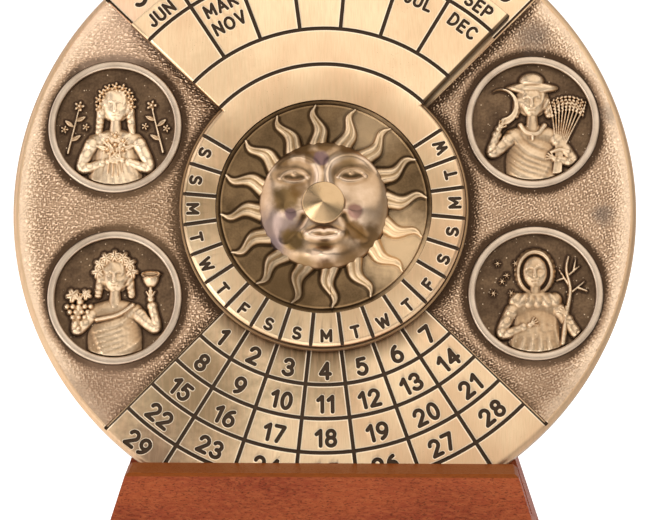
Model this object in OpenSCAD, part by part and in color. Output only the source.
// Perpetual calendar: a round bronze plate leaning in a wooden foot, with one dial that turns.
// The month fan of the dial is set under a year, and the weekday ring then heads the date table.
// Sizes are in millimetres. Up is +Z and the front of the plate looks towards -Y.
// "On the plate" below means x to the right, y up the plate and z out of its front face, from the pivot.

/* [Plate] */
// Radius of the back plate
plate_r = 45; // [40:0.5:60]
// Thickness of the back plate
plate_t = 4.5; // [3.5:0.1:7]
// How far the plate leans back from upright, in degrees
lean = 18; // [8:1:25]
// Bevel round the plate's front rim
rim_bevel = 0.8; // [0.2:0.1:1.2]
// How deep the stippled grounds lie below the plate's polished face
ground_depth = 0.6; // [0.2:0.1:1]
// Width of the polished rim left outside the stippled grounds
rim_w = 0.9; // [0.5:0.1:2]
// Flat cut across the plate's bottom, where it sits in the slot
plate_flat = 1.3; // [0.6:0.1:2.5]
// How far the plate's struck face is turned against that flat, in degrees
face_turn = 0.8; // [-2:0.1:2]

/* [Dial] */
// Outer radius of the weekday ring
ring_r = 20.8; // [18:0.1:23]
// Width of the weekday ring, from the sun disc outwards
ring_w = 5.3; // [3:0.1:6]
// Height of the year band that the fan leaves free below the plate's rim
year_band = 6.2; // [5:0.1:10]
// Thickness of the dial
dial_t = 2.4; // [2.2:0.1:4]
// Gap between the plate's face and the dial's back
dial_gap = 0.4; // [0.4:0.05:1]
// Chamfer along the dial's front edges
dial_bevel = 0.5; // [0.1:0.1:0.8]
// How far the dial is turned from its middle setting, in degrees
dial_set = 0.7; // [-6:0.1:6]
// Height of the month fan's outer row
month_row = 3.6; // [2.5:0.1:5]
// Height of the month fan's inner row
month_inner_row = 9.1; // [5:0.1:10]

/* [Tables] */
// Number of columns in the fan, the date table and the year sector
columns = 7; // [7:1:7]
// Angle of one column, in degrees
column_angle = 12.857; // [12:0.001:12.9]
// Weekday cells round the ring
weekday_cells = 19; // [13:1:20]
// Height of one row of the date table
date_row = 4.88; // [4:0.02:5.5]
// Rows of the date table
date_rows = 5; // [4:1:5]
// Width of the engraved lines
line_w = 0.55; // [0.2:0.05:0.7]
// Depth of the engraved lines
line_d = 0.3; // [0.1:0.05:0.4]

/* [Sun disc] */
// Depth of the dial's seat for the sun disc
sun_seat = 0.9; // [0.6:0.1:1]
// Thickness of the sun disc's ground
sun_t = 0.6; // [0.4:0.1:0.8]
// Radius of the sun's face
face_r = 9.3; // [8:0.1:11]
// Height of the face over the disc's ground
face_h = 2.5; // [1.5:0.1:4]
// Number of rays round the face
rays = 16; // [8:1:16]
// Height of the rays over the disc's ground
ray_h = 0.7; // [0.3:0.1:1]
// Gap between the ray tips and the disc's rim
ray_margin = 0.3; // [0.2:0.1:1]

/* [Roundels] */
// Outer radius of a roundel
roundel_r = 9.75; // [7:0.05:10]
// Distance from a roundel to the plate's rim
roundel_inset = 2.5; // [2:0.1:4]
// Angle of the roundels above and below the plate's cross line, in degrees
roundel_angle = 22.5; // [20:0.5:24]
// Radius of the round bead that rings a roundel
bead_r = 0.5; // [0.3:0.05:0.6]
// Depth of a roundel's ground below the plate's polished face
roundel_ground = 1.4; // [1:0.1:1.8]
// Thickness of a roundel's ground
roundel_t = 0.6; // [0.4:0.1:0.9]

/* [Pivot] */
// Radius of the pivot's shoulder, on which the dial turns
shoulder_r = 2; // [1.7:0.1:2.5]
// Running clearance between the shoulder and the dial's bore
running_fit = 0.04; // [0.02:0.01:0.08]
// Radius of the pivot's threaded end
thread_r = 1.5; // [1:0.1:1.6]
// Radius of the pivot's head
head_r = 3.05; // [2.6:0.05:4]
// Thickness of the pivot head's rim
head_rim = 0.5; // [0.3:0.1:1]
// Height of the head's shallow cone
head_cone = 0.9; // [0.3:0.1:2]
// Gap between the pivot's head and the sun's nose
head_gap = 0.15; // [0.1:0.05:0.5]
// Width of the nut across its flats
nut_w = 5.5; // [5:0.1:8]
// Height of the nut
nut_h = 2.4; // [1.6:0.1:3]
// Radius of the washer under the nut
back_washer_r = 3.5; // [3.2:0.1:5]
// Thickness of the washer under the nut
back_washer_t = 0.5; // [0.3:0.1:1]
// Radius of the slip washer behind the dial
slip_r = 8; // [6.5:0.1:12]
// Thickness of the slip washer
slip_t = 0.3; // [0.2:0.05:0.35]
// Outer radius of the spring washer
spring_r = 5; // [4:0.1:5.8]
// Thickness of the spring washer's sheet
spring_t = 0.2; // [0.1:0.05:0.3]
// Depth of the dial's pocket for the spring washer
spring_pocket = 0.6; // [0.4:0.05:0.7]

/* [Foot] */
// Height of the foot, with its felt
base_h = 22; // [16:0.5:40]
// How deep the plate stands in the foot, measured up its front face
plate_sunk = 8.3; // [6:0.1:10]
// Depth of the foot's top in front of the plate
strip_d = 7; // [5:0.5:20]
// Depth of the foot's top from the plate's front face to the rear
rear_d = 22; // [14:0.5:30]
// Half the width of the foot's top, which the slot crosses from side to side
top_half = 27.5; // [24:0.1:34]
// Slope of the foot's sides from upright, in degrees
side_slope = 17.8; // [0:0.1:25]
// Bevel along the foot's top edges
wood_bevel = 0.4; // [0.2:0.1:1]
// Thickness of the felt under the foot
felt_t = 1; // [0.5:0.1:2]
// How far the felt stands in from the foot's sides
felt_inset = 2; // [1:0.5:6]
// Distance from the middle to each screw that holds the plate
screw_x = 7; // [4:0.5:8]
// Radius of those screws
screw_r = 1.25; // [0.8:0.05:1.4]
// Radius of their heads
screw_head_r = 2.3; // [2:0.1:3]
// Height of their heads
screw_head_h = 1.6; // [1:0.1:2.5]
// Wood between the slot's floor and the screw heads
screw_web = 5.5; // [3:0.5:7]
// How far the screws reach into the plate
screw_in = 5.5; // [3:0.5:6]

/* [Hidden] */
$fn = 96;
// Clearances
slot_clear = 0.05;
seat_clear = 0.05;
thread_clear = 0.03;
screw_clear = 0.3;
spring_clear = 0.05;
// A cut reaches this far past the face that it opens
over = 1;
// An engraved arc runs this many degrees past the sides of its sector
line_past = 0.8;
// Engraved lines along a radius are this much shallower than the arcs
radial_lift = 0.03;

// Stack of the dial, on the plate
dial_back = dial_gap;
dial_front = dial_back + dial_t;
sun_back = dial_front - sun_seat;
sun_ground = sun_back + sun_t;
nose_top = sun_ground + face_h;
head_back = nose_top + head_gap;
head_top = head_back + head_rim + head_cone;
thread_end = -(plate_t + back_washer_t + nut_h + thread_r / 2);

// Radii on the dial
fan_r = plate_r - year_band;
fan_half = columns * column_angle / 2;
month_r2 = fan_r - month_row;
month_r1 = month_r2 - month_inner_row;
sun_r = ring_r - ring_w;
nose_r = head_r + head_gap;
// Chamfer along the fan's sides, a little finer than the one along its arc
side_bevel = 0.9 * dial_bevel;

// Radii on the plate
roundel_at = plate_r - roundel_inset - roundel_r;
roundel_floor = roundel_ground + roundel_t;
ground_in_r = ring_r - ring_w / 2;
ground_out_r = plate_r - rim_w;

// Place of the pivot and of the foot
front_h = plate_r - plate_sunk;
flat_y = -(plate_r - plate_flat);
wood_h = base_h - felt_t;
spread = wood_h * tan(side_slope);
strip_y = front_h * sin(lean) + strip_d;
rear_y = rear_d - front_h * sin(lean);
front_reach = strip_y + spread;
rear_reach = max(rear_y + spread, plate_r * sin(lean) + plate_t * cos(lean));
pivot_y = (front_reach - rear_reach) / 2;
pivot_z = base_h + front_h * cos(lean);

// Colours
bronze = [0.78, 0.66, 0.47];
dark_bronze = [0.42, 0.33, 0.24];
brass = [0.85, 0.7, 0.4];
steel = [0.7, 0.7, 0.72];
fibre = [0.35, 0.3, 0.25];
wood = [0.5, 0.24, 0.14];
felt = [0.12, 0.2, 0.14];

// Moves what is drawn on the plate to where the plate leans in the foot
module on_plate() {
    translate([0, pivot_y, pivot_z])
        rotate([90 - lean, 0, 0])
            children();
}

// The same, for what is struck in the plate's face or let into it
module on_face() {
    on_plate()
        rotate([0, 0, face_turn])
            children();
}

// The same, for what turns with the dial
module on_dial() {
    on_face()
        rotate([0, 0, dial_set])
            children();
}

// Ring between two radii and two heights
module ring(r_in, r_out, z0, z1) {
    translate([0, 0, z0])
        difference() {
            cylinder(r = r_out, h = z1 - z0);
            translate([0, 0, -over])
                cylinder(r = r_in, h = z1 - z0 + 2 * over);
        }
}

// Sector of a ring, centred on the angle mid, counted from +x
module sector(r_in, r_out, z0, z1, mid, half) {
    rotate([0, 0, mid - half])
        rotate_extrude(angle = 2 * half)
            translate([r_in, z0])
                square([r_out - r_in, z1 - z0]);
}

// Engraved arc on the face at height z
module arc_line(r, z, mid, half) {
    sector(r - line_w / 2, r + line_w / 2, z - line_d, z + over, mid, half);
}

// Engraved line along a radius
module radial_line(r_in, r_out, z, angle) {
    rotate([0, 0, angle])
        translate([r_in, -line_w / 2, z - line_d + radial_lift])
            cube([r_out - r_in, line_w, line_d + over]);
}

// Wooden foot: two trapezoids crossed, with the plate's slot and the screw holes
module wood_base() {
    // Outline of a sloping side, with the top edge beveled
    function side(a, b) = [
        [-a - spread, felt_t], [b + spread, felt_t],
        [b + wood_bevel * tan(side_slope), base_h - wood_bevel], [b - wood_bevel, base_h],
        [wood_bevel - a, base_h], [-a - wood_bevel * tan(side_slope), base_h - wood_bevel]];
    color(wood)
        difference() {
            intersection() {
                translate([0, rear_reach + front_reach, 0])
                    rotate([90, 0, 0])
                        linear_extrude(2 * (rear_reach + front_reach))
                            polygon(side(top_half, top_half));
                translate([-top_half - spread - over, pivot_y, 0])
                    rotate([90, 0, 90])
                        linear_extrude(2 * (top_half + spread + over))
                            polygon(side(strip_y, rear_y));
            }
            on_plate() {
                translate([-plate_r, flat_y, -plate_t - slot_clear])
                    cube([2 * plate_r, plate_r, plate_t + 2 * slot_clear]);
                for (side = [-1, 1])
                    translate([side * screw_x, flat_y + over, -plate_t / 2])
                        rotate([90, 0, 0]) {
                            cylinder(r = screw_r + screw_clear, h = screw_web + 2 * over);
                            translate([0, 0, over + screw_web])
                                cylinder(r = screw_head_r + screw_clear, h = base_h);
                        }
            }
        }
}

// Felt pad under the foot
module base_felt() {
    color(felt)
        translate([felt_inset - top_half - spread, felt_inset - front_reach + pivot_y, 0])
            cube([2 * (top_half + spread - felt_inset), strip_y + rear_y + 2 * (spread - felt_inset), felt_t]);
}

// Two screws from under the foot into the plate's bottom edge
module plate_screws() {
    color(steel)
        on_plate()
            for (side = [-1, 1])
                translate([side * screw_x, flat_y + screw_in, -plate_t / 2])
                    rotate([90, 0, 0]) {
                        cylinder(r = screw_r, h = screw_in + screw_web + screw_head_h);
                        translate([0, 0, screw_in + screw_web])
                            cylinder(r = screw_head_r, h = screw_head_h);
                    }
}

// Date table, year sector lines and edges of the two sectors, cut in the plate's face
module plate_lines() {
    for (row = [1 : date_rows - 1])
        arc_line(plate_r - row * date_row, 0, -90, fan_half);
    for (column = [0 : columns])
        radial_line(ring_r - ring_w / 2, plate_r - rim_bevel, 0, -90 - fan_half + column * column_angle);
    for (side = [-1, 1])
        radial_line(fan_r - month_row, plate_r - rim_bevel, 0, 90 + side * fan_half);
}

// Round plate with its flat, bevel, sunk grounds, roundel seats and engraved lines
module back_plate() {
    color(bronze)
        on_plate()
            difference() {
                rotate_extrude()
                    polygon([[0, -plate_t], [plate_r, -plate_t], [plate_r, -rim_bevel],
                             [plate_r - rim_bevel, 0], [0, 0]]);
                translate([-plate_r, flat_y - plate_r, -plate_t - over])
                    cube([2 * plate_r, plate_r, plate_t + 2 * over]);
                rotate([0, 0, face_turn]) {
                    for (mid = [0, 180])
                        sector(ground_in_r, ground_out_r, -ground_depth, over, mid, 90 - fan_half);
                    for (a = [-1, 1], b = [0, 180])
                        rotate([0, 0, b + a * roundel_angle])
                            translate([roundel_at, 0, -roundel_floor])
                                cylinder(r = roundel_r + seat_clear, h = roundel_floor + over);
                    plate_lines();
                }
                translate([0, 0, -plate_t - over])
                    cylinder(r = thread_r + thread_clear, h = plate_t + 2 * over);
                for (side = [-1, 1])
                    translate([side * screw_x, flat_y + screw_in + screw_clear, -plate_t / 2])
                        rotate([90, 0, 0])
                            cylinder(r = screw_r + thread_clear, h = screw_in + 2 * over);
            }
}

// Rounded swelling that rises to the height rise over a ground at height 0
module swell(x, y, r, rise) {
    translate([x, y, rise - r])
        sphere(r);
}

// Rounded bar from p to q that rises to the height rise at p and to end_rise, or the same, at q
module bar(p, q, r, rise, end_rise) {
    run = norm(q - p);
    climb = is_undef(end_rise) ? 0 : end_rise - rise;
    translate([p.x, p.y, rise - r])
        rotate([0, 90 - atan2(climb, run), atan2(q.y - p.y, q.x - p.x)]) {
            cylinder(r = r, h = norm([run, climb]));
            sphere(r);
            translate([0, 0, norm([run, climb])])
                sphere(r);
        }
}

// Half-length figure of a season: head, cloak and two arms, in shares of the ground's radius
module figure(left_hand, right_hand) {
    s = roundel_r - 2 * bead_r;
    top = roundel_ground - 0.1;
    swell(0, 0.42 * s, 0.22 * s, top);
    swell(0, -0.75 * s, 0.62 * s, 0.8 * top);
    for (side = [-1, 1])
        swell(side * 0.24 * s, -0.05 * s, 0.2 * s, 0.75 * top);
    bar([-0.36 * s, -0.15 * s], s * left_hand, 0.09 * s, 0.8 * top);
    bar([0.36 * s, -0.15 * s], s * right_hand, 0.09 * s, 0.8 * top);
}

// Roundel with its bead, ground and relief, at the angle given, with the relief upright
module roundel(angle) {
    on_face()
        translate([roundel_at * cos(angle), roundel_at * sin(angle), -roundel_ground]) {
            translate([0, 0, -roundel_t])
                cylinder(r = roundel_r - bead_r, h = roundel_t);
            rotate_extrude()
                translate([roundel_r - bead_r, 0]) {
                    translate([0, roundel_ground - bead_r])
                        circle(bead_r);
                    translate([-bead_r, -roundel_t])
                        square([2 * bead_r, roundel_ground + roundel_t - bead_r]);
                }
            intersection() {
                children();
                translate([0, 0, -roundel_t])
                    cylinder(r = roundel_r - bead_r, h = roundel_ground + roundel_t);
            }
        }
}

// Spring: a wreath on the hair and a bunch of flowers held before the chest
module roundel_spring() {
    s = roundel_r - 2 * bead_r;
    color(dark_bronze)
        roundel(180 - roundel_angle) {
            figure([-0.1, -0.35], [0.1, -0.35]);
            for (k = [0 : 6])
                swell(0.26 * s * cos(30 * k), s * (0.46 + 0.26 * sin(30 * k)), 0.07 * s, 0.7);
            for (k = [0 : 5])
                swell(0.16 * s * cos(60 * k), s * (-0.2 + 0.16 * sin(60 * k)), 0.09 * s, roundel_ground - 0.1);
        }
}

// Summer: a sickle on one side and a sheaf on the other
module roundel_summer() {
    s = roundel_r - 2 * bead_r;
    color(dark_bronze)
        roundel(roundel_angle) {
            figure([-0.6, 0.1], [0.55, -0.35]);
            for (k = [-2 : 2])
                bar([0.58 * s, -0.45 * s], [s * (0.58 + 0.09 * k), 0.3 * s], 0.05 * s, 0.8);
            for (k = [0 : 5])
                swell(s * (-0.6 + 0.18 * cos(40 * k)), s * (0.32 + 0.18 * sin(40 * k)), 0.06 * s, 0.7);
        }
}

// Autumn: a cup held up on one side and grapes on the other
module roundel_autumn() {
    s = roundel_r - 2 * bead_r;
    color(dark_bronze)
        roundel(180 + roundel_angle) {
            figure([-0.55, -0.2], [0.55, 0.2]);
            swell(0.58 * s, 0.34 * s, 0.15 * s, 1);
            for (row = [0 : 2], k = [0 : row])
                swell(s * (-0.58 + 0.11 * (k - row / 2)), s * (-0.5 + 0.1 * row), 0.08 * s, 0.9);
        }
}

// Winter: a hooded figure with a bare branch
module roundel_winter() {
    s = roundel_r - 2 * bead_r;
    color(dark_bronze)
        roundel(-roundel_angle) {
            figure([-0.15, -0.4], [0.5, -0.25]);
            swell(0, 0.5 * s, 0.34 * s, 0.7);
            bar([0.55 * s, -0.6 * s], [0.5 * s, 0.5 * s], 0.05 * s, 0.8);
            bar([0.53 * s, 0.1 * s], [0.7 * s, 0.35 * s], 0.04 * s, 0.6);
            bar([0.52 * s, 0.2 * s], [0.34 * s, 0.45 * s], 0.04 * s, 0.6);
        }
}

// Fan of the dial, chamfered along its outer arc and both its sides
module fan() {
    difference() {
        rotate([0, 0, 90 - fan_half])
            rotate_extrude(angle = 2 * fan_half)
                polygon([[shoulder_r * 2, dial_back], [fan_r, dial_back], [fan_r, dial_front - dial_bevel],
                         [fan_r - dial_bevel, dial_front], [shoulder_r * 2, dial_front]]);
        for (side = [-1, 1])
            rotate([0, 0, 90 + side * fan_half])
                translate([ring_r, 0, dial_front])
                    rotate([45, 0, 0])
                        translate([-side_bevel, -side_bevel / sqrt(2), -side_bevel / sqrt(2)])
                            cube([fan_r, sqrt(2) * side_bevel, sqrt(2) * side_bevel]);
    }
}

// Month lines of the fan and cell lines of the weekday ring
module dial_lines() {
    for (r = [ring_r, month_r1, month_r2])
        arc_line(r, dial_front, 90, fan_half + line_past);
    for (k = [1 : columns - 1])
        radial_line(month_r1, fan_r + over, dial_front, 90 - fan_half + k * column_angle);
    for (k = [0 : weekday_cells])
        radial_line(sun_r - line_w, ring_r + over, dial_front, -90 + (k - weekday_cells / 2) * column_angle);
}

// Turning dial: weekday ring and month fan, with the sun disc's seat and the spring washer's pocket
module dial() {
    color(bronze)
        on_dial()
            difference() {
                union() {
                    rotate_extrude()
                        polygon([[0, dial_back], [ring_r, dial_back], [ring_r, dial_front - dial_bevel],
                                 [ring_r - dial_bevel, dial_front], [0, dial_front]]);
                    fan();
                }
                translate([0, 0, sun_back])
                    cylinder(r = sun_r + seat_clear, h = sun_seat + over);
                translate([0, 0, dial_back - over])
                    cylinder(r = spring_r + 2 * spring_clear, h = spring_pocket + over);
                translate([0, 0, dial_back - over])
                    cylinder(r = shoulder_r + running_fit, h = dial_t + 2 * over);
                dial_lines();
            }
}

// One wavy ray, pointing along +x from the face's edge to its tip
module ray() {
    root = face_r - 1;
    tip = sun_r - ray_margin;
    steps = 10;
    wave = 0.09 * face_r;
    half = 0.1 * face_r;
    function along(t) = root + (tip - root) * t;
    function swing(t) = wave * sin(360 * t * 0.95 - 40);
    function wide(t) = half * pow(1 - t, 0.6);
    up = [for (k = [0 : steps]) [along(k / steps), swing(k / steps) + wide(k / steps)]];
    down = [for (k = [steps - 1 : -1 : 0]) [along(k / steps), swing(k / steps) - wide(k / steps)]];
    linear_extrude(ray_h)
        polygon(concat(up, down));
}

// Brows, eyes, cheeks, lips and chin of the face, in shares of its radius, over a crown of radius crown_r
module face_features(crown_r) {
    // Height of the crown at a share d of the face's radius from its middle
    function top(d) = face_h - crown_r + sqrt(pow(crown_r, 2) - pow(d * face_r, 2));
    tube = 0.09 * face_r;
    for (side = [-1, 1]) {
        translate([side * 0.44 * face_r, 0.32 * face_r, top(0.75) + 0.25 - tube])
            rotate_extrude(angle = 180)
                translate([0.31 * face_r, 0])
                    circle(tube);
        swell(side * 0.43 * face_r, 0.35 * face_r, 0.17 * face_r, top(0.55) + 0.15);
        swell(side * 0.6 * face_r, -0.16 * face_r, 0.34 * face_r, top(0.62) + 0.35);
        swell(side * 0.12 * face_r, -0.44 * face_r, 0.13 * face_r, top(0.46) + 0.3);
    }
    swell(0, -0.57 * face_r, 0.14 * face_r, top(0.57) + 0.3);
    swell(0, -0.82 * face_r, 0.18 * face_r, top(0.82) + 0.4);
}

// Sun medallion: ground, face and rays, bored for the pivot
module sun_disc() {
    edge = face_h / 2;
    flat_r = face_r - edge;
    crown = face_h - edge;
    crown_r = (pow(flat_r, 2) + pow(crown, 2)) / (2 * crown);
    color(dark_bronze)
        on_dial()
            difference() {
                union() {
                    translate([0, 0, sun_back])
                        cylinder(r = sun_r, h = sun_t);
                    translate([0, 0, sun_ground]) {
                        for (k = [0 : rays - 1])
                            rotate([0, 0, 94.6 - k * 360 / rays])
                                ray();
                        intersection() {
                            union() {
                                rotate_extrude() {
                                    translate([flat_r, 0])
                                        intersection() {
                                            circle(edge);
                                            square(edge);
                                        }
                                    square([flat_r, edge]);
                                }
                                translate([0, 0, face_h - crown_r])
                                    sphere(crown_r);
                                face_features(crown_r);
                            }
                            translate([0, 0, -sun_t / 2])
                                cylinder(r = face_r, h = 2 * face_h);
                        }
                    }
                }
                translate([0, 0, nose_top])
                    cylinder(r = nose_r, h = face_h);
                translate([0, 0, sun_back - over])
                    cylinder(r = shoulder_r + running_fit, h = nose_top + over);
            }
}

// Pivot: conical head, shoulder for the dial and threaded end through the plate
module pivot_screw() {
    color(brass)
        on_plate()
            rotate_extrude()
                polygon([[0, thread_end], [thread_r, thread_end], [thread_r, 0], [shoulder_r, 0],
                         [shoulder_r, head_back], [head_r, head_back], [head_r, head_back + head_rim],
                         [0, head_top]]);
}

// Thin washer between the plate and the dial
module slip_washer() {
    color(fibre)
        on_plate()
            ring(shoulder_r + running_fit, slip_r, 0, slip_t);
}

// Cone-shaped spring washer in the dial's pocket
module spring_washer() {
    low = slip_t + spring_clear;
    high = dial_back + spring_pocket - spring_clear;
    bore_r = shoulder_r + running_fit;
    color(steel)
        on_dial()
            rotate_extrude()
                polygon([[bore_r, high - spring_t], [spring_r, low], [spring_r, low + spring_t], [bore_r, high]]);
}

// Flat washer under the nut
module back_washer() {
    color(steel)
        on_plate()
            ring(thread_r + thread_clear, back_washer_r, -plate_t - back_washer_t, -plate_t);
}

// Hexagon nut on the pivot's threaded end
module pivot_nut() {
    top = -plate_t - back_washer_t;
    color(brass)
        on_plate()
            translate([0, 0, top - nut_h])
                difference() {
                    cylinder(r = nut_w / (2 * cos(30)), h = nut_h, $fn = 6);
                    translate([0, 0, -over])
                        cylinder(r = thread_r + thread_clear, h = nut_h + 2 * over);
                }
}

wood_base();
base_felt();
plate_screws();
back_plate();
roundel_spring();
roundel_summer();
roundel_autumn();
roundel_winter();
dial();
sun_disc();
pivot_screw();
slip_washer();
spring_washer();
back_washer();
pivot_nut();
